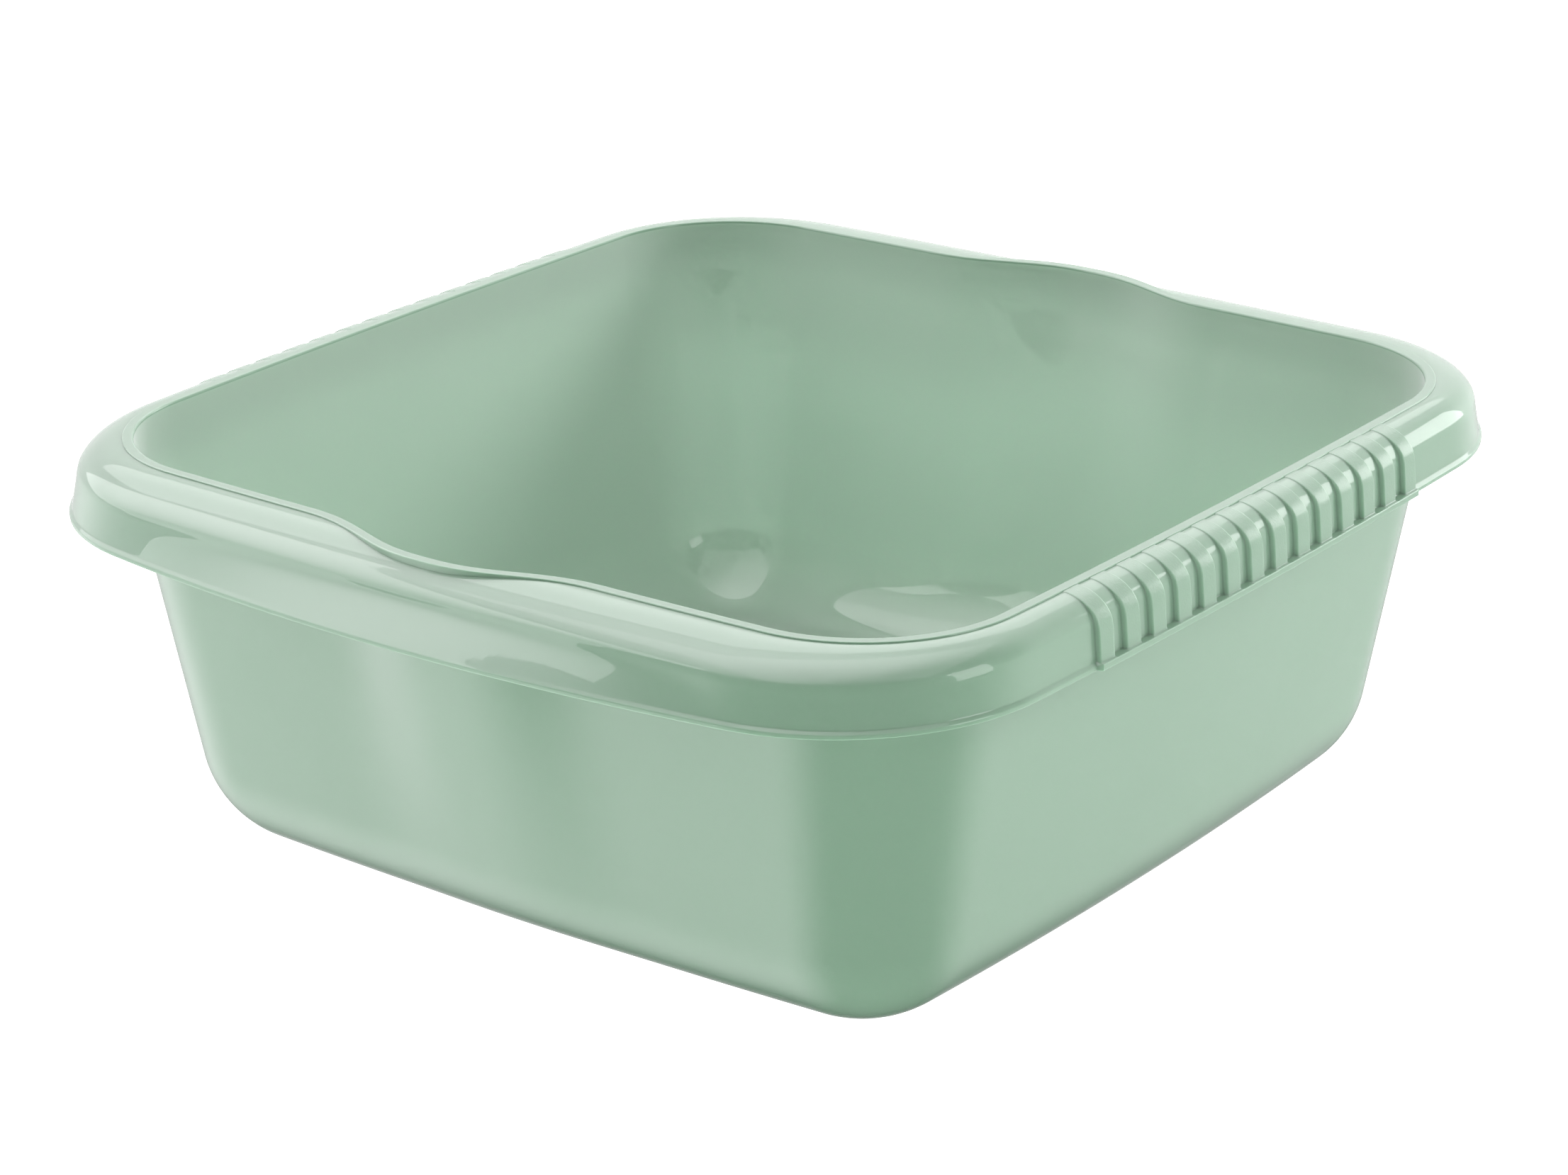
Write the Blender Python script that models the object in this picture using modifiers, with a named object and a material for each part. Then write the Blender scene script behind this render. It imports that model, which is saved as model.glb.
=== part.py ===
"""Square washing-up basin with two finger scoops and two ribbed grips, moulded in one piece.

Metres, +Z up. The origin is the middle of the flat base, on the surface that the basin stands on.
The ribbed grips are on the two X sides and the finger scoops on the two Y sides.
"""
import math

import bmesh
import bpy
import numpy as np

MM = 0.001

# Heights
HEIGHT = 130.0 * MM            # from the base to the top of the bead
RIM_HEIGHT = 20.0 * MM         # from the top of the bead down to the lower edge of the lip
COLLAR_HEIGHT = 11.5 * MM      # upright top of the wall, above its draft
ROLL_HEIGHT = 9.2 * MM         # height over which the rim rolls from flat to upright

# Thicknesses
WALL = 1.8 * MM                # walls, rim and skirt
FLOOR = 2.0 * MM

# Mouth, measured at its inner edge; its sides bow outward a little
MOUTH_X = 303.0 * MM
MOUTH_Y = 303.4 * MM
MOUTH_CORNER = 44.8 * MM
SIDE_BOW_X = 3900.0 * MM       # radius of the bowed X sides
SIDE_BOW_Y = 3300.0 * MM       # radius of the bowed Y sides

# Walls and floor
DRAFT = 8.5                    # lean of the walls, in degrees
FLOOR_BOW_X = 1760.0 * MM
FLOOR_BOW_Y = 2000.0 * MM
FLOOR_RADIUS = 34.0 * MM       # round between the floor and the walls, on the inside
FLAT_CORNER = 1.2 * MM         # corner radius of the flat part of the floor

# Rim: widths from the mouth to the knee of the roll and to the lip, at the middle of each side
ROLL_WIDTH_X = 13.9 * MM
ROLL_WIDTH_Y = 22.1 * MM
KNEE_CORNER = 63.5 * MM
KNEE_BOW_X = 3100.0 * MM
KNEE_BOW_Y = 2600.0 * MM
RIM_WIDTH_X = 15.5 * MM
RIM_WIDTH_Y = 31.1 * MM
LIP_CORNER = 65.5 * MM
LIP_BOW_X = 3200.0 * MM
LIP_BOW_Y = 720.0 * MM

# Bead round the mouth
BEAD_WIDTH = 3.6 * MM
BEAD_HEIGHT = 0.5 * MM         # over the flat start of the roll
BEAD_ROUND = 1.0 * MM

# Flange along the lower edge of the skirt
FLANGE_OUT = 0.9 * MM
FLANGE_FACE = 1.2 * MM
FLANGE_SLOPE = 1.0 * MM        # height of the slope above the face of the flange

# Finger scoops in the mouth
SCOOP_DEPTH = 10.7 * MM
SCOOP_LENGTH = 110.0 * MM

# Ribbed grips
GRIP_LENGTH = 167.9 * MM
RIB_COUNT = 14
RIB_WIDTH = 6.7 * MM
RIB_OUT = 1.6 * MM             # how far the ribs stand out of the skirt
RIB_UP = 0.4 * MM              # how far they stand up from the start of the roll
GRIP_STEP = 0.8 * MM           # length of the step at each end of a grip
LEDGE_SHARE = 0.7              # how much flatter the top of the flange is in a grip

# Values that follow from the ones above
RIB_PITCH = (GRIP_LENGTH - RIB_WIDTH) / (RIB_COUNT - 1)
COLLAR = HEIGHT - COLLAR_HEIGHT
LEAN = COLLAR * math.tan(math.radians(DRAFT))
FOOT_CORNER = FLAT_CORNER + FLOOR_RADIUS * math.tan(math.radians(90.0 - DRAFT) / 2)
MOUTH = (MOUTH_X / 2, MOUTH_Y / 2, SIDE_BOW_X, SIDE_BOW_Y, MOUTH_CORNER)
KNEE = (MOUTH_X / 2 + ROLL_WIDTH_X, MOUTH_Y / 2 + ROLL_WIDTH_Y, KNEE_BOW_X, KNEE_BOW_Y, KNEE_CORNER)
LIP = (MOUTH_X / 2 + RIM_WIDTH_X, MOUTH_Y / 2 + RIM_WIDTH_Y, LIP_BOW_X, LIP_BOW_Y, LIP_CORNER)
FOOT = (MOUTH_X / 2 - LEAN, MOUTH_Y / 2 - LEAN, FLOOR_BOW_X, FLOOR_BOW_Y, FOOT_CORNER)

# Steps in the mesh
SIDE_STEPS = 3
CORNER_STEPS = 8
SCOOP_STEPS = 11
ROUND_STEPS = 5
ROLL_STEPS = 7

BASIN_GREEN = (0.38, 0.52, 0.42, 1.0)
BASIN_ROUGHNESS = 0.28


def offset(outline, distance):
    """The same outline moved outward by a distance, keeping its arcs concentric."""
    half_x, half_y, side_x, side_y, corner = outline
    return (half_x + distance, half_y + distance, side_x + distance, side_y + distance, corner + distance)


def blend(first, second, share):
    """An outline between two others; the side radii are blended as curvatures."""
    mixed = [a + (b - a) * share for a, b in zip(first, second)]
    for index in (2, 3):
        mixed[index] = 1.0 / ((1.0 - share) / first[index] + share / second[index])
    return tuple(mixed)


def corner_centre(outline):
    """Centre of the corner arc that is tangent to both bowed sides."""
    half_x, half_y, side_x, side_y, corner = outline
    first = np.array([half_x - side_x, 0.0])
    second = np.array([0.0, half_y - side_y])
    reach_first = side_x - corner
    reach_second = side_y - corner
    across = second - first
    gap = float(np.linalg.norm(across))
    along = (reach_first ** 2 - reach_second ** 2 + gap ** 2) / (2 * gap)
    aside = math.sqrt(reach_first ** 2 - along ** 2)
    unit = across / gap
    normal = np.array([-unit[1], unit[0]])
    options = [first + unit * along + normal * aside, first + unit * along - normal * aside]
    return max(options, key=lambda point: point[0] + point[1])


def side_x_at(outline, y):
    """X of the bowed +X side at a given Y."""
    half_x, _, side_x, _, _ = outline
    return half_x - side_x + math.sqrt(side_x ** 2 - y ** 2)


def quarter(outline):
    """Points of the outline from the middle of its +X side to the middle of its +Y side."""
    half_x, half_y, side_x, side_y, corner = outline
    centre = corner_centre(outline)
    turn_start = math.atan2(centre[1], centre[0] - half_x + side_x)
    turn_end = math.atan2(centre[1] - half_y + side_y, centre[0])
    points = []
    for step in range(SIDE_STEPS):
        y = GRIP_LENGTH / 2 * step / (SIDE_STEPS - 1)
        points.append((side_x_at(outline, y), y))
    grip_end = GRIP_LENGTH / 2 + GRIP_STEP
    side_end = centre[1] + corner * math.sin(turn_start)
    for y in (grip_end, (grip_end + side_end) / 2):
        points.append((side_x_at(outline, y), y))
    for step in range(CORNER_STEPS + 1):
        angle = turn_start + (turn_end - turn_start) * step / CORNER_STEPS
        points.append((centre[0] + corner * math.cos(angle), centre[1] + corner * math.sin(angle)))
    edge = points[-1][0]
    for step in range(1, SCOOP_STEPS + 1):
        x = edge * (1.0 - step / SCOOP_STEPS)
        points.append((x, half_y - side_y + math.sqrt(side_y ** 2 - x ** 2)))
    return np.array(points)


ON_SCOOP_SIDE = SIDE_STEPS + 2 + CORNER_STEPS     # first station of the +Y side


def scoop(points):
    """Outward shift of the mouth in the finger scoop: smooth at the middle and at both ends."""
    reach = np.clip(2 * np.abs(points[:, 0]) / SCOOP_LENGTH, 0.0, 1.0)
    shape = 1.0 - reach ** 3 * (reach * (6.0 * reach - 15.0) + 10.0)
    shape[:ON_SCOOP_SIDE] = 0.0
    return SCOOP_DEPTH * shape


def in_grip(points):
    """1 at the stations within a grip and 0 elsewhere."""
    share = np.zeros(len(points))
    share[:SIDE_STEPS] = 1.0
    return share


def ring(points, height):
    """3-D ring from plan points and one height or a height for each point."""
    heights = np.zeros(len(points)) + height
    return np.column_stack([points, heights])


def wall_rings(thickness, bottom, radius, steps_up):
    """Rings of one face of the wall: the round from the floor, then straight up to the collar.

    thickness is the distance outward from the inner face, bottom the height of the flat floor.
    """
    foot = offset(FOOT, thickness)
    mouth = offset(MOUTH, thickness)
    turn = math.radians(90.0 - DRAFT)
    tangent = radius * math.tan(turn / 2)
    start = blend(foot, mouth, bottom / COLLAR)
    rings = []
    for step in range(steps_up + 1):
        angle = turn * step / steps_up
        plan = quarter(offset(start, -tangent + radius * math.sin(angle)))
        height = bottom + radius * (1.0 - math.cos(angle))
        plan[:, 1] += scoop(plan) * (height - bottom) / COLLAR
        rings.append(ring(plan, height))
    top = quarter(mouth)
    top[:, 1] += scoop(top)
    middle_height = (height + COLLAR) / 2
    middle = (rings[-1][:, :2] + top) / 2
    rings.append(ring(middle, middle_height))
    rings.append(ring(top, COLLAR))
    return rings


def roll_arc(width, drop, first_distance, steps):
    """Distances across the roll, and depths under its start, from a first distance to its edge."""
    first_angle = np.arcsin(np.clip(first_distance / width, 0.0, 1.0))
    arc = []
    for step in range(steps + 1):
        angle = first_angle + (math.pi / 2 - first_angle) * step / steps
        arc.append((width * np.sin(angle), drop * (1.0 - np.cos(angle))))
    return arc


def basin_section():
    """All rings of a quarter of the basin, from the inner floor over the rim to the base."""
    mouth = quarter(MOUTH)
    knee = quarter(KNEE)
    lip = quarter(LIP)
    shift = scoop(mouth)
    across = knee - mouth
    width = np.linalg.norm(across, axis=1)
    unit = across / width[:, None]

    def out_from_mouth(distance, height):
        return ring(mouth + unit * np.reshape(distance, (-1, 1)), height)

    rings = wall_rings(0.0, FLOOR, FLOOR_RADIUS, ROUND_STEPS)

    # Bead
    corner = BEAD_ROUND * (1.0 - math.sqrt(0.5))
    rings.append(out_from_mouth(shift, HEIGHT - BEAD_ROUND))
    rings.append(out_from_mouth(shift + corner, HEIGHT - corner))
    rings.append(out_from_mouth(shift + BEAD_ROUND, HEIGHT))
    rings.append(out_from_mouth(shift + BEAD_WIDTH - BEAD_ROUND, HEIGHT))
    rings.append(out_from_mouth(shift + BEAD_WIDTH - corner, HEIGHT - corner))

    # Roll, from the foot of the bead to the knee
    roll_start = HEIGHT - BEAD_HEIGHT
    roll_width = width - BEAD_WIDTH
    roll_drop = ROLL_HEIGHT - BEAD_HEIGHT
    for distance, depth in roll_arc(roll_width, roll_drop, shift, ROLL_STEPS):
        rings.append(out_from_mouth(BEAD_WIDTH + distance, roll_start - depth))

    # Skirt and flange; the flange steps out with the ribs in a grip
    lip_height = HEIGHT - RIM_HEIGHT
    skirt_foot = quarter(offset(LIP, -FLANGE_OUT))
    flange = lip.copy()
    flange[:, 0] += RIB_OUT * in_grip(lip)
    face_top = FLANGE_FACE + FLANGE_SLOPE * LEDGE_SHARE * in_grip(lip)
    rings.append(ring(skirt_foot, lip_height + FLANGE_FACE + FLANGE_SLOPE))
    rings.append(ring(flange, lip_height + face_top))
    rings.append(ring(flange, lip_height))

    # Hidden side: inside of the skirt, underside of the roll, then the outer face of the wall
    rings.append(ring(quarter(offset(LIP, -FLANGE_OUT - WALL)), lip_height))
    under_start = roll_start - WALL
    under_arc = roll_arc(roll_width - WALL, roll_drop - WALL, shift, ROUND_STEPS)
    for distance, depth in reversed(under_arc):
        rings.append(out_from_mouth(BEAD_WIDTH + distance, under_start - depth))
    wall_top = under_start - under_arc[0][1] - (BEAD_WIDTH - WALL)
    rings.append(out_from_mouth(shift + WALL, wall_top))
    rings.extend(reversed(wall_rings(WALL, 0.0, FLOOR_RADIUS + WALL, ROUND_STEPS)))
    return rings


def mesh_object(name, rings, collection):
    """Quarter of the basin: rings joined by quads, with the floor and the base filled to the middle."""
    mesh = bpy.data.meshes.new(name)
    work = bmesh.new()
    rows = [[work.verts.new(tuple(point)) for point in each] for each in rings]
    for lower, upper in zip(rows, rows[1:]):
        for index in range(len(lower) - 1):
            work.faces.new((lower[index], lower[index + 1], upper[index + 1], upper[index]))
    for row in (rows[0], rows[-1]):
        middle = work.verts.new((0.0, 0.0, row[0].co.z))
        work.faces.new(row + [middle])
    bmesh.ops.recalc_face_normals(work, faces=work.faces)
    work.to_mesh(mesh)
    work.free()
    thing = bpy.data.objects.new(name, mesh)
    collection.objects.link(thing)
    return thing


def rib_section(y):
    """Closed outline, in X and Z, of a rib on the +X side at a given Y."""
    mouth = side_x_at(MOUTH, y)
    knee = side_x_at(KNEE, y)
    skirt_foot = side_x_at(offset(LIP, -FLANGE_OUT), y)
    lip_height = HEIGHT - RIM_HEIGHT
    roll_start = HEIGHT - BEAD_HEIGHT
    roll_width = knee - mouth - BEAD_WIDTH
    roll_drop = ROLL_HEIGHT - BEAD_HEIGHT
    outer = []
    inner = []
    for distance, depth in roll_arc(roll_width, roll_drop, 0.0, ROLL_STEPS):
        x = mouth + BEAD_WIDTH + distance
        z = roll_start - depth
        sideways = distance / roll_width
        upward = 1.0 - depth / roll_drop
        outer.append((x + RIB_OUT * sideways, z + RIB_UP * upward))
        inner.append((x - WALL / 2 * sideways, z - WALL / 2 * upward))
    outer.append((skirt_foot + RIB_OUT, lip_height + FLANGE_FACE + FLANGE_SLOPE))
    outer.append((skirt_foot + RIB_OUT, lip_height + FLANGE_FACE / 2))
    inner.append((skirt_foot - WALL / 2, lip_height + FLANGE_FACE / 2))
    return outer + inner[::-1]


def rib_bars(side, collection):
    """The ribs of one grip, as separate bars in one object; side is 1 for +X and -1 for -X."""
    mesh = bpy.data.meshes.new("grip_ribs")
    work = bmesh.new()
    for index in range(RIB_COUNT):
        centre = (index - (RIB_COUNT - 1) / 2) * RIB_PITCH
        ends = []
        for y in (centre - RIB_WIDTH / 2, centre + RIB_WIDTH / 2):
            ends.append([work.verts.new((side * x, y, z)) for x, z in rib_section(y)])
        count = len(ends[0])
        for start in range(count):
            after = (start + 1) % count
            work.faces.new((ends[0][start], ends[0][after], ends[1][after], ends[1][start]))
        work.faces.new(ends[0])
        work.faces.new(ends[1])
    bmesh.ops.recalc_face_normals(work, faces=work.faces)
    work.to_mesh(mesh)
    work.free()
    bars = bpy.data.objects.new("grip_ribs", mesh)
    bars.hide_render = True
    bars.display_type = "WIRE"
    collection.objects.link(bars)
    return bars


def basin_material():
    """Glossy sage-green polypropylene."""
    material = bpy.data.materials.new("basin_plastic")
    material.use_nodes = True
    shader = material.node_tree.nodes["Principled BSDF"]
    shader.inputs["Base Color"].default_value = BASIN_GREEN
    shader.inputs["Roughness"].default_value = BASIN_ROUGHNESS
    shader.inputs["Metallic"].default_value = 0.0
    return material


def new_collection(name):
    collection = bpy.data.collections.new(name)
    bpy.context.scene.collection.children.link(collection)
    return collection


def build():
    for thing in list(bpy.data.objects):
        bpy.data.objects.remove(thing, do_unlink=True)
    parts = new_collection("square_basin")
    cutters = new_collection("square_basin_cutters")

    basin = mesh_object("basin", basin_section(), parts)
    basin.data.materials.append(basin_material())
    mirror = basin.modifiers.new("two_mirror_planes", "MIRROR")
    mirror.use_axis = (True, True, False)
    mirror.merge_threshold = 0.00005
    for side in (1, -1):
        union = basin.modifiers.new("grip_ribs", "BOOLEAN")
        union.operation = "UNION"
        union.solver = "EXACT"
        union.object = rib_bars(side, cutters)
    basin.data.shade_smooth()
    basin.data.set_sharp_from_angle(angle=math.radians(35))


build()
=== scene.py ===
"""A square washing-up basin, moulded in one piece in glossy sage-green plastic."""
import math

import bmesh
import bpy
import numpy as np
from mathutils import Matrix, Vector


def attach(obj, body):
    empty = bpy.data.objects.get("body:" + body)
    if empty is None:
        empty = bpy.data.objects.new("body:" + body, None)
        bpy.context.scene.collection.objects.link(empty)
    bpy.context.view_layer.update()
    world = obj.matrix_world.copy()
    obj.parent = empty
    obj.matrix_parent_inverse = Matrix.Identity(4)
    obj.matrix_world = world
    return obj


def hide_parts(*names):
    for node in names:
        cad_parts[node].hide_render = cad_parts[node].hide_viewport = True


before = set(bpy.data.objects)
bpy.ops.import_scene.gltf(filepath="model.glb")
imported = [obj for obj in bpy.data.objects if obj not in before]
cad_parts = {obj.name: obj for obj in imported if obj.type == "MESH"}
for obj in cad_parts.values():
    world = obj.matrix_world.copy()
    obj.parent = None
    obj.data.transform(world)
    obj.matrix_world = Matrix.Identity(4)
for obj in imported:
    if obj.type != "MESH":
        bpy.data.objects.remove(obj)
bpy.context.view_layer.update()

# Ribbed grips: fourteen low ribs across the rim on each X side, which give wet fingers a hold. They are part
# of the one plastic moulding. The rim's mesh has a column of points at every edge of a rib, so the places of
# these columns along the side come first, in millimetres from its middle.
GRIP_LENGTH = 167.9
GRIP_STEP = 0.8        # length of the step at each end of a grip
STEP_INSIDE = 0.2      # how far the last column on the step is from its end
STEP_OUTSIDE = 0.6     # how far the first column past the step is from its end
RIB_COUNT = 14
RIB_WIDTH = 6.7
RIB_OUT = 1.6          # how far the ribs stand out of the skirt
RIB_UP = 0.28          # how far they stand up beside the bead
RIB_EDGE = 0.5         # round of a rib's long edges
RIB_SIDE = 0.1         # draft of a rib's side, over its height
RIB_FILLET = 0.35      # fillet at the foot of a rib
EDGE_STEPS = 4
FILLET_STEPS = 3


def half_rib():
    """Places along the grip from a rib's middle outward, each with the share of the rib's height there."""
    places = [(0.0, 1.0)]
    edge_start = RIB_WIDTH / 2 - RIB_EDGE
    for step in range(EDGE_STEPS + 1):
        angle = math.pi / 2 * step / EDGE_STEPS
        fall = RIB_EDGE * (1.0 - math.cos(angle))
        places.append((edge_start + RIB_EDGE * math.sin(angle), 1.0 - fall / RIB_OUT))
    for step in range(FILLET_STEPS + 1):
        angle = math.pi / 2 * step / FILLET_STEPS
        rise = RIB_FILLET * (1.0 - math.sin(angle))
        along = RIB_WIDTH / 2 + RIB_SIDE + RIB_FILLET * (1.0 - math.cos(angle))
        places.append((along, rise / RIB_OUT))
    return places


rib_pitch = (GRIP_LENGTH - RIB_WIDTH) / (RIB_COUNT - 1)
rib_places = half_rib()
grip_places = [(0.0, 0.0)]
for index in range(RIB_COUNT // 2):
    middle = (index + 0.5) * rib_pitch
    grip_places += [(middle - along, share) for along, share in reversed(rib_places[1:])]
    grip_places += [(middle + along, share) for along, share in rib_places]
    grip_places.append((middle + rib_pitch / 2, 0.0))
grip_end = GRIP_LENGTH / 2 + GRIP_STEP
grip_places[-1] = (grip_end - STEP_INSIDE, 0.0)
grip_places.append((grip_end, 0.0))
grip_places.append((grip_end + STEP_OUTSIDE, 0.0))

# Tub: the flat floor, the large round that leads into the walls, and the four drafted walls, which turn
# upright near the top. The finger scoops swing the two Y walls outward, more and more towards the mouth.
# Seen from above, each level is a square with bowed sides and round corners. An outline is half its width in
# X and in Y, the radii of its X and Y sides, and its corner. One quarter is made, and mirrored twice.
MOUTH = (151.5, 151.7, 3900.0, 3300.0, 44.8)
FOOT = (133.79, 133.99, 1760.0, 2000.0, 30.5)
HEIGHT = 130.0
COLLAR = 118.5         # height at which the walls turn upright
COLLAR_BEND = 6.0
FLOOR = 2.0
WALL = 1.8
FLOOR_RADIUS = 34.0
FLOOR_TURN = math.radians(81.5)
FLAT_SHARE = 0.97      # size of the ring just inside the flat floor's edge
SCOOP_DEPTH = 10.7
SCOOP_HALF = 55.0
BEFORE_CORNER = 5
CORNER_STEPS = 28
SCOOP_STEPS = 56
FLOOR_STEPS = 22
WALL_STEPS = 12
COLLAR_STEPS = 6


def corner_centre(outline):
    """Centre of the corner arc that meets both bowed sides smoothly."""
    half_x, half_y, side_x, side_y, corner = outline
    first = np.array([half_x - side_x, 0.0])
    across = np.array([0.0, half_y - side_y]) - first
    gap = np.linalg.norm(across)
    along = ((side_x - corner) ** 2 - (side_y - corner) ** 2 + gap ** 2) / (2 * gap)
    aside = math.sqrt((side_x - corner) ** 2 - along ** 2)
    unit = across / gap
    normal = np.array([unit[1], -unit[0]])
    options = [first + unit * along + normal * aside, first + unit * along - normal * aside]
    return max(options, key=lambda point: point[0] + point[1])


def grown(outline, distance):
    """The same outline moved outward by a distance."""
    return tuple(value + distance for value in outline)


def quarter(outline):
    """Plan points of a quarter of an outline, the same number for every outline."""
    half_x, half_y, side_x, side_y, corner = outline
    centre = corner_centre(outline)
    turn_start = math.atan2(centre[1], centre[0] - half_x + side_x)
    turn_end = math.atan2(centre[1] - half_y + side_y, centre[0])
    side_end = centre[1] + corner * math.sin(turn_start)
    along = [place for place, share in grip_places]
    last = along[-1]
    along += [last + (side_end - last) * step / BEFORE_CORNER for step in range(1, BEFORE_CORNER)]
    points = [(half_x - side_x + math.sqrt(side_x ** 2 - y ** 2), y) for y in along]
    for step in range(CORNER_STEPS + 1):
        angle = turn_start + (turn_end - turn_start) * step / CORNER_STEPS
        points.append((centre[0] + corner * math.cos(angle), centre[1] + corner * math.sin(angle)))
    edge = points[-1][0]
    for step in range(1, SCOOP_STEPS + 1):
        x = edge * (1.0 - step / SCOOP_STEPS)
        points.append((x, half_y - side_y + math.sqrt(side_y ** 2 - x ** 2)))
    return np.array(points)


stations = len(quarter(MOUTH))


def level(plan, height):
    """A ring: plan points at one height, or at a height for each of them."""
    return np.column_stack([plan, np.zeros(len(plan)) + np.ravel(height)])


def between(first, last, steps):
    """Rings spaced evenly between two rings, without either of them."""
    return [first + (last - first) * step / steps for step in range(1, steps)]


def rounded(before, corner, after, reach, steps):
    """Rings that round off the bend at a ring, from a reach before it to a reach after it."""
    start = before - corner
    end = after - corner
    start = corner + start / np.linalg.norm(start, axis=1, keepdims=True) * reach
    end = corner + end / np.linalg.norm(end, axis=1, keepdims=True) * reach
    shares = [step / steps for step in range(steps + 1)]
    return [start * (1 - t) ** 2 + corner * 2 * t * (1 - t) + end * t ** 2 for t in shares]


def scoop(plan):
    """Outward swing of the mouth in a finger scoop, which starts and ends without a kink."""
    reach = np.clip(np.abs(plan[:, :1]) / SCOOP_HALF, 0.0, 1.0)
    swing = SCOOP_DEPTH * (1.0 - reach ** 3 * (reach * (6.0 * reach - 15.0) + 10.0))
    swing[:stations - SCOOP_STEPS] = 0.0
    return swing


def tub_face(thickness, bottom):
    """Rings of one face of the tub, from the flat floor up to the collar."""
    radius = FLOOR_RADIUS + thickness
    share = bottom / COLLAR
    foot = grown(FOOT, thickness)
    mouth = grown(MOUTH, thickness)
    start = tuple(a + (b - a) * share for a, b in zip(foot, mouth))
    tangent = radius * math.tan(FLOOR_TURN / 2)
    rings = []
    for step in range(FLOOR_STEPS + 1):
        angle = FLOOR_TURN * step / FLOOR_STEPS
        plan = quarter(grown(start, radius * math.sin(angle) - tangent))
        height = bottom + radius * (1.0 - math.cos(angle))
        plan[:, 1:] += scoop(plan) * (height - bottom) / COLLAR
        rings.append(level(plan, height))
    flat = rings[0].copy()
    flat[:, :2] *= FLAT_SHARE
    top = quarter(mouth)
    top[:, 1:] += scoop(top)
    collar = level(top, COLLAR)
    above = level(top, COLLAR + COLLAR_BEND)
    bend = rounded(rings[-1], collar, above, COLLAR_BEND, COLLAR_STEPS)
    return [flat] + rings + between(rings[-1], bend[0], WALL_STEPS) + bend


rings = tub_face(0.0, FLOOR)
inner_rings = len(rings)

# Rim: a bead round the mouth, a broad roll that falls away from it to an upright knee, and a skirt that
# ends in a narrow flange. It is the same moulding as the tub, and stiffens its edge.
KNEE = (165.4, 173.8, 3100.0, 2600.0, 63.5)
LIP = (167.0, 182.8, 3200.0, 720.0, 65.5)
BEAD_WIDTH = 3.6
BEAD_HEIGHT = 0.5
BEAD_INNER_ROUND = 0.9
BEAD_OUTER_ROUND = 0.45
BEAD_ROUND_SHARE = 0.9     # most of the bead's height that its outer round takes up
BEAD_INNER_STEPS = 5
BEAD_OUTER_STEPS = 4
ROLL_DROP = 8.7            # fall of the roll from the foot of the bead to the knee
ROLL_STEPS = 36
SKIRT_STEPS = 16
KNEE_PASSES = 14           # times that the knee's bend is smoothed
KNEE_ROLL_RINGS = 6        # rings of the roll that the bend takes in
KNEE_SKIRT_RINGS = 3       # rings at the foot of the skirt that it leaves alone
LIP_HEIGHT = 110.0
FLANGE_OUT = 0.9
FLANGE_FACE = 1.2
FLANGE_SLOPE = 1.0         # height of the slope above the flange's face
FLANGE_ROUND = 0.3
FLANGE_STEPS = 3
GRIP_LEDGE = 0.7           # share of the slope's height that the flange's face takes up in a grip

rib_share = np.zeros((stations, 1))
rib_share[:len(grip_places), 0] = [share for place, share in grip_places]
along_grip = np.array([place for place, share in grip_places])
grip_share = np.zeros((stations, 1))
grip_share[:len(grip_places), 0] = np.clip((grip_end - along_grip) / GRIP_STEP, 0.0, 1.0)

mouth = quarter(MOUTH)
across = quarter(KNEE) - mouth
width = np.linalg.norm(across, axis=1, keepdims=True)
outward = across / width
swing = scoop(mouth)
roll_top = HEIGHT - BEAD_HEIGHT


def over_rim(distance, height):
    """Ring at a distance outward from the mouth."""
    return level(mouth + outward * distance, height)


def roll_arc(roll_width, drop, steps):
    """Distances across the roll with the fall at each, from the foot of the bead to the knee."""
    first = np.arcsin(np.clip(swing / roll_width, 0.0, 1.0))
    angles = [first + (math.pi / 2 - first) * step / steps for step in range(steps + 1)]
    return [(roll_width * np.sin(angle), drop * (1.0 - np.cos(angle))) for angle in angles]


def rib_lift(distance_share, height_share):
    """How a point of the roll or skirt moves on a rib: out most at the knee, up most at the bead."""
    lift = np.zeros((stations, 3))
    lift[:, :1] = RIB_OUT * rib_share * distance_share ** 2
    lift[:, 2:] = RIB_UP * rib_share * height_share
    return lift


roll_width = width - BEAD_WIDTH
roll = []
for distance, fall in roll_arc(roll_width, ROLL_DROP, ROLL_STEPS):
    ring = over_rim(BEAD_WIDTH + distance, roll_top - fall)
    roll.append(ring + rib_lift(distance / roll_width, 1.0 - fall / ROLL_DROP))
bead_in = over_rim(swing, HEIGHT)
bead_out = over_rim(swing + BEAD_WIDTH, HEIGHT)
bead_side = np.minimum(BEAD_OUTER_ROUND, BEAD_ROUND_SHARE * (HEIGHT - roll[0][:, 2:]))
rings += rounded(rings[-1], bead_in, bead_out, BEAD_INNER_ROUND, BEAD_INNER_STEPS)
rings += rounded(bead_in, bead_out, roll[0], bead_side, BEAD_OUTER_STEPS)

skirt_foot = level(quarter(grown(LIP, -FLANGE_OUT)), LIP_HEIGHT + FLANGE_FACE + FLANGE_SLOPE)
skirt_foot += rib_lift(1.0, 0.0)
knee_bend = roll + between(roll[-1], skirt_foot, SKIRT_STEPS)
for sweep in range(KNEE_PASSES):
    before = list(knee_bend)
    for index in range(ROLL_STEPS - KNEE_ROLL_RINGS, len(knee_bend) - KNEE_SKIRT_RINGS):
        knee_bend[index] = (before[index - 1] + before[index] * 2 + before[index + 1]) / 4
first_roll_ring = len(rings)
rings += knee_bend

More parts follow.
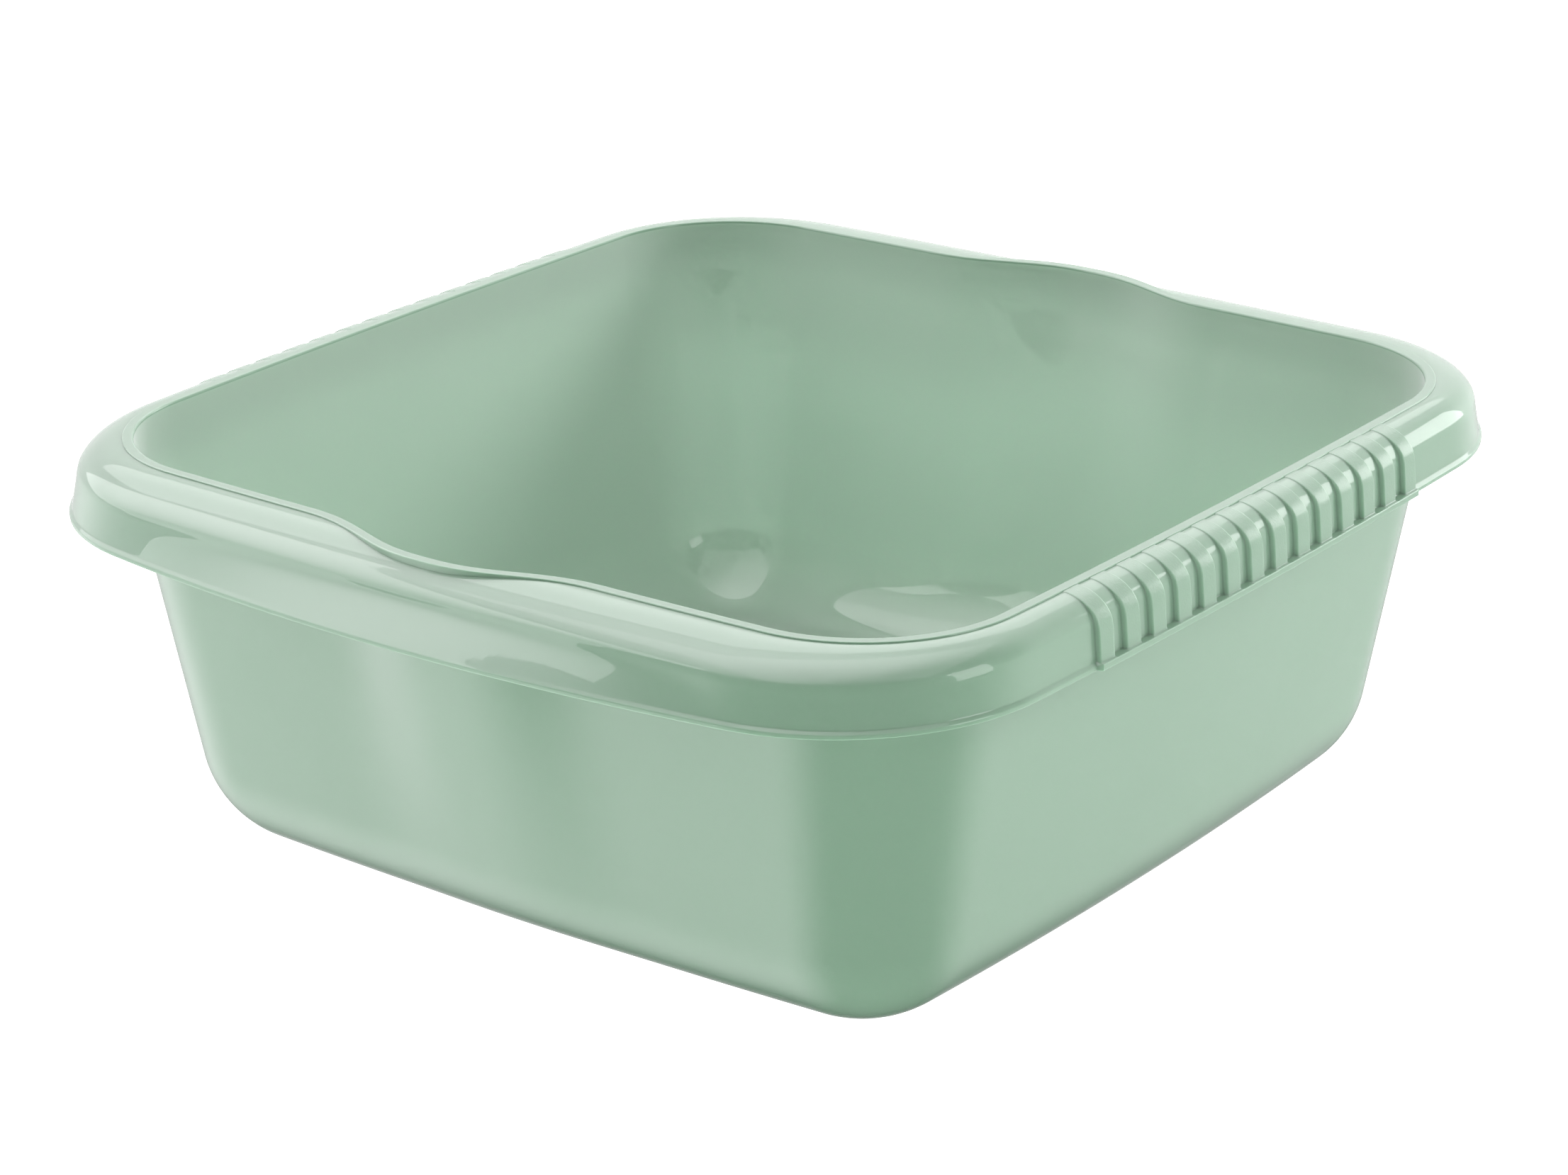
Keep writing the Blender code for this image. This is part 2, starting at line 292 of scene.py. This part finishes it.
flange_plan = quarter(LIP)
flange_plan[:, :1] += RIB_OUT * grip_share
flange_top = level(flange_plan, LIP_HEIGHT + FLANGE_FACE + FLANGE_SLOPE * GRIP_LEDGE * grip_share)
flange_edge = level(flange_plan, LIP_HEIGHT)
skirt_edge = level(quarter(grown(LIP, -FLANGE_OUT - WALL)), LIP_HEIGHT)
last_rib_ring = len(rings)
flange = [knee_bend[-1], skirt_foot, flange_top, flange_edge, skirt_edge]
for before, corner, after in zip(flange, flange[1:], flange[2:]):
    rings += rounded(before, corner, after, FLANGE_ROUND, FLANGE_STEPS)

# Hidden side: the inside of the skirt, the underside of the roll, and the outer face of the tub down to
# the flat base. It follows the visible side, one wall thickness behind it.
UNDER_STEPS = 14
INNER_SKIRT_STEPS = 4
under = []
for distance, fall in roll_arc(roll_width - WALL, ROLL_DROP - WALL, UNDER_STEPS):
    under.append(over_rim(BEAD_WIDTH + distance, roll_top - WALL - fall))
rings += rounded(flange_edge, skirt_edge, under[-1], FLANGE_ROUND, FLANGE_STEPS)
rings += between(skirt_edge, under[-1], INNER_SKIRT_STEPS)
rings += under[::-1]
wall_top = under[0][:, 2:] - (BEAD_WIDTH - WALL)
rings.append(over_rim(swing + WALL, wall_top))
rings += tub_face(WALL, 0.0)[::-1]

# Moulding: all the rings as one closed mesh, in polypropylene coloured right through. The mould was polished,
# which leaves a clear gloss with a faint ripple over a softer haze. Its ribs were spark-eroded, which leaves
# them finely frosted. The inner face has a slight bloom, and takes up light from beyond the thin walls.
MM = 0.001
MERGE_DISTANCE = 0.02 * MM
SHARP_EDGE = math.radians(50)
FROSTED_SHARE = 0.6        # share of a rib's height above which it is frosted
SAGE = (0.225, 0.35, 0.256, 1.0)
SAGE_PALE = (0.235, 0.362, 0.266, 1.0)
HAZE_RANGE = (0.85, 1.15)  # least and most haze, where its usual value is 1
FINISHES = {  # roughness of the skin and of the haze, size and depth of the ripple, reach of light, bloom
    "glossy_sage": (0.03, 0.42, 0.006, 0.00001, 0.002, 0.0),
    "frosted_sage": (0.25, 0.42, 0.0007, 0.00004, 0.002, 0.0),
    "inner_sage": (0.03, 0.5, 0.006, 0.00001, 0.0067, 0.55),
}
GLOSSY, FROSTED, INNER = range(len(FINISHES))


def plastic(name, skin, haze, ripple_size, ripple_depth, reach, bloom):
    """Sage plastic with slight variation of colour and haze, and a ripple of a given size and depth."""
    material = bpy.data.materials.new(name)
    material.use_nodes = True
    nodes = material.node_tree.nodes
    links = material.node_tree.links
    place = nodes.new("ShaderNodeTexCoord")
    shader = nodes["Principled BSDF"]
    settings = {
        "IOR": 1.5,
        "Specular IOR Level": 0.7,
        "Coat Weight": 1.0,
        "Coat IOR": 1.7,
        "Coat Roughness": skin,
        "Subsurface Weight": 1.0,
        "Subsurface Radius": (1.0, 1.0, 1.0),
        "Subsurface Scale": reach,
        "Sheen Weight": bloom,
        "Sheen Roughness": 0.8,
    }
    for socket, value in settings.items():
        shader.inputs[socket].default_value = value

    def clouds(scale, detail):
        """Socket with a cloudy pattern, of so many clouds to the metre."""
        pattern = nodes.new("ShaderNodeTexNoise")
        pattern.inputs["Scale"].default_value = scale
        pattern.inputs["Detail"].default_value = detail
        links.new(place.outputs["Object"], pattern.inputs["Vector"])
        return pattern.outputs["Fac"]

    shade = nodes.new("ShaderNodeMix")
    shade.data_type = "RGBA"
    shade.inputs["A"].default_value = SAGE
    shade.inputs["B"].default_value = SAGE_PALE
    links.new(clouds(14.0, 3.0), shade.inputs["Factor"])
    links.new(shade.outputs["Result"], shader.inputs["Base Color"])

    gloss = nodes.new("ShaderNodeMapRange")
    gloss.inputs["To Min"].default_value = haze * HAZE_RANGE[0]
    gloss.inputs["To Max"].default_value = haze * HAZE_RANGE[1]
    links.new(clouds(38.0, 4.0), gloss.inputs["Value"])
    links.new(gloss.outputs["Result"], shader.inputs["Roughness"])

    bump = nodes.new("ShaderNodeBump")
    bump.inputs["Strength"].default_value = 1.0
    bump.inputs["Distance"].default_value = ripple_depth
    links.new(clouds(1.0 / ripple_size, 2.0), bump.inputs["Height"])
    links.new(bump.outputs["Normal"], shader.inputs["Normal"])
    links.new(bump.outputs["Normal"], shader.inputs["Coat Normal"])
    return material


def finish_of(ring, column):
    """Finish of the face that starts at a ring and a column of points."""
    if ring < inner_rings:
        return INNER
    on_rib = first_roll_ring <= ring < last_rib_ring
    if on_rib and min(rib_share[column, 0], rib_share[column + 1, 0]) > FROSTED_SHARE:
        return FROSTED
    return GLOSSY


moulding_mesh = bpy.data.meshes.new("basin_moulding")
work = bmesh.new()
rows = [[work.verts.new(point * MM) for point in ring] for ring in rings]
for number, (lower, upper) in enumerate(zip(rows, rows[1:])):
    for index in range(stations - 1):
        face = work.faces.new((lower[index], lower[index + 1], upper[index + 1], upper[index]))
        face.material_index = finish_of(number, index)
for row, finish in ((rows[0], INNER), (rows[-1], GLOSSY)):
    axis_point = work.verts.new((0.0, 0.0, row[0].co.z))
    face = work.faces.new(row + [axis_point])
    face.material_index = finish
bmesh.ops.recalc_face_normals(work, faces=work.faces)
work.to_mesh(moulding_mesh)
work.free()
moulding = bpy.data.objects.new("basin_moulding", moulding_mesh)
bpy.context.scene.collection.objects.link(moulding)
mirror = moulding.modifiers.new("two_mirror_planes", "MIRROR")
mirror.use_axis = (True, True, False)
mirror.merge_threshold = MERGE_DISTANCE
moulding_mesh.shade_smooth()
moulding_mesh.set_sharp_from_angle(angle=SHARP_EDGE)
weighted = moulding.modifiers.new("even_shading", "WEIGHTED_NORMAL")
weighted.keep_sharp = True
for name, values in FINISHES.items():
    moulding_mesh.materials.append(plastic(name, *values))
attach(moulding, "root")
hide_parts("basin")

# Table: a plain white top, lit from below as well, which lights the walls from beneath. To the camera it is
# so bright that the basin's shadow on it does not show. The gloss does not mirror it.
TABLE_SIZE = 12.0
TABLE_DROP = 0.0004    # gap that keeps the top clear of the basin's base
TABLE_GLOW = 0.75      # light that it gives to the basin
TABLE_LOOK = 0.9       # light that it shows to the camera


def seen_directly(tree):
    """Socket that is 1 for rays from the camera, also through clear things, and 0 for all others."""
    rays = tree.nodes.new("ShaderNodeLightPath")
    either = tree.nodes.new("ShaderNodeMath")
    either.operation = "MAXIMUM"
    tree.links.new(rays.outputs["Is Camera Ray"], either.inputs[0])
    tree.links.new(rays.outputs["Is Transmission Ray"], either.inputs[1])
    return either.outputs[0]


bpy.ops.mesh.primitive_plane_add(size=TABLE_SIZE, location=(0.0, 0.0, -TABLE_DROP))
table = bpy.context.object
table.name = "table_top"
white = bpy.data.materials.new("white_table")
white.use_nodes = True
top = white.node_tree.nodes["Principled BSDF"]
top.inputs["Base Color"].default_value = (0.8, 0.8, 0.8, 1.0)
top.inputs["Roughness"].default_value = 0.9
top.inputs["Emission Color"].default_value = (1.0, 1.0, 1.0, 1.0)
glow = white.node_tree.nodes.new("ShaderNodeMapRange")
glow.inputs["To Min"].default_value = TABLE_GLOW
glow.inputs["To Max"].default_value = TABLE_LOOK
white.node_tree.links.new(seen_directly(white.node_tree), glow.inputs["Value"])
white.node_tree.links.new(glow.outputs["Result"], top.inputs["Emission Strength"])
table.data.materials.append(white)
table.visible_glossy = False

# Tent: white cloth round and over the table, plain white to the camera. What the gloss mirrors of it glows
# to the left, to the right, behind and overhead, and is dark round the camera. Each glow is given by its
# compass direction from +Y towards +X and its height, the angles from there at which it begins to fade and
# is gone, all in degrees, and its level.
GLOWS = {
    "behind": (-45.0, 30.0, 25.0, 85.0, 1.1),
    "left": (-120.0, -28.0, 12.0, 55.0, 1.25),
    "right": (30.0, -15.0, 10.0, 50.0, 0.7),
    "overhead": (-120.0, 70.0, 20.0, 50.0, 1.0),
}
SOFT_LIGHT = (0.62, 0.19)     # light that the cloth sheds from its sides and from its top
SOFT_HEIGHTS = (0.15, 0.85)   # sines of the heights between which it changes


def direction(compass, height):
    """Unit vector towards a compass direction at a height, both in degrees."""
    turn = math.radians(compass)
    rise = math.radians(height)
    return Vector((math.sin(turn) * math.cos(rise), math.cos(turn) * math.cos(rise), math.sin(rise)))


world = bpy.data.worlds.new("white_tent")
bpy.context.scene.world = world
world.use_nodes = True
nodes = world.node_tree.nodes
links = world.node_tree.links
place = nodes.new("ShaderNodeTexCoord")


def towards(aim):
    """Socket with the cosine of the angle between a direction and the one that is looked in."""
    facing = nodes.new("ShaderNodeVectorMath")
    facing.operation = "DOT_PRODUCT"
    facing.inputs[1].default_value = aim
    links.new(place.outputs["Generated"], facing.inputs[0])
    return facing.outputs["Value"]


def cloth(strength):
    """White light of a given strength, or of a strength that a socket gives."""
    light = nodes.new("ShaderNodeBackground")
    light.inputs["Color"].default_value = (1.0, 1.0, 1.0, 1.0)
    if isinstance(strength, float):
        light.inputs["Strength"].default_value = strength
    else:
        links.new(strength, light.inputs["Strength"])
    return light.outputs[0]


def switched(share, first, second):
    """The first light where a socket is 0, and the second where it is 1."""
    mix = nodes.new("ShaderNodeMixShader")
    for number, socket in enumerate((share, first, second)):
        links.new(socket, mix.inputs[number])
    return mix.outputs[0]


unlit = nodes.new("ShaderNodeValue")
unlit.outputs[0].default_value = 0.0
total = unlit.outputs[0]
for name, (compass, height, fade, gone, brightness) in GLOWS.items():
    patch = nodes.new("ShaderNodeMapRange")
    patch.name = name
    patch.interpolation_type = "SMOOTHSTEP"
    patch.inputs["From Min"].default_value = math.cos(math.radians(gone))
    patch.inputs["From Max"].default_value = math.cos(math.radians(fade))
    patch.inputs["To Max"].default_value = brightness
    links.new(towards(direction(compass, height)), patch.inputs["Value"])
    adding = nodes.new("ShaderNodeMath")
    links.new(total, adding.inputs[0])
    links.new(patch.outputs["Result"], adding.inputs[1])
    total = adding.outputs[0]
soft = nodes.new("ShaderNodeMapRange")
soft.inputs["From Min"].default_value, soft.inputs["From Max"].default_value = SOFT_HEIGHTS
soft.inputs["To Min"].default_value, soft.inputs["To Max"].default_value = SOFT_LIGHT
links.new(towards((0.0, 0.0, 1.0)), soft.inputs["Value"])
rays = nodes.new("ShaderNodeLightPath")
lighting = switched(rays.outputs["Is Diffuse Ray"], cloth(total), cloth(soft.outputs["Result"]))
shown = switched(seen_directly(world.node_tree), lighting, cloth(1.0))
links.new(shown, nodes["World Output"].inputs["Surface"])
bpy.context.scene.view_settings.view_transform = "Standard"

# Lamps: soft boxes and a small card round the table. Each is given by the place of its middle, the point that
# it faces, and its width and height, in metres, and by its brightness, where white paper is 1. The fill lamps
# are screened from the gloss, so they leave no highlight, and the card gives nothing but a highlight.
MIDDLE = (0.0, 0.0, 0.1)
NEAR_CORNER = (0.157, -0.132, 0.121)
LAMPS = {
    "soft_box_left": ((-2.0, -1.36, 1.5), (0.0, -1.36, 1.5), 3.43, 2.0, 1.45),
    "soft_box_behind": ((-1.42, 1.81, 1.93), MIDDLE, 3.06, 1.17, 0.9),
    "soft_box_right": ((1.26, 2.59, 0.83), MIDDLE, 1.06, 1.39, 2.6),
    "soft_box_above": ((0.33, -0.4, 2.95), MIDDLE, 4.2, 4.2, 0.55),
    "card_right": ((1.037, 0.024, 0.365), NEAR_CORNER, 0.35, 0.55, 1.8),
    "fill_front": ((1.83, -2.34, 0.4), MIDDLE, 1.6, 1.0, 4.6),
    "fill_right": ((1.7, 2.2, 1.22), MIDDLE, 0.9, 0.9, 20.0),
    "fill_behind": ((-1.0, 2.2, 1.9), MIDDLE, 0.8, 0.8, 24.0),
}
for name, (centre, target, wide, tall, brightness) in LAMPS.items():
    light = bpy.data.lights.new(name, "AREA")
    light.shape = "RECTANGLE"
    light.size = wide
    light.size_y = tall
    light.energy = brightness * math.pi * wide * tall
    lamp = bpy.data.objects.new(name, light)
    lamp.location = centre
    lamp.rotation_euler = (Vector(centre) - Vector(target)).to_track_quat("Z", "Y").to_euler()
    lamp.visible_camera = False
    lamp.visible_glossy = not name.startswith("fill")
    lamp.visible_diffuse = not name.startswith("card")
    bpy.context.scene.collection.objects.link(lamp)

# Camera: a long lens, to the right of the scooped side and a little above the rim, as in the photograph.
EYE = Vector((0.75062, -0.98873, 0.54630))
AIM = Vector((-0.00155, -0.00111, 0.07024))
CAMERA_ROLL = math.radians(-0.672)
LENS = 100.68
FILM_WIDTH = 36.0
back = (EYE - AIM).normalized()
level_right = Vector((0.0, 0.0, 1.0)).cross(back).normalized()
level_up = back.cross(level_right)
right = level_right * math.cos(CAMERA_ROLL) + level_up * math.sin(CAMERA_ROLL)
up = level_up * math.cos(CAMERA_ROLL) - level_right * math.sin(CAMERA_ROLL)
camera_data = bpy.data.cameras.new("camera")
camera_data.lens = LENS
camera_data.sensor_width = FILM_WIDTH
camera = bpy.data.objects.new("camera", camera_data)
camera.matrix_world = Matrix.Translation(EYE) @ Matrix((right, up, back)).transposed().to_4x4()
bpy.context.scene.collection.objects.link(camera)
bpy.context.scene.camera = camera
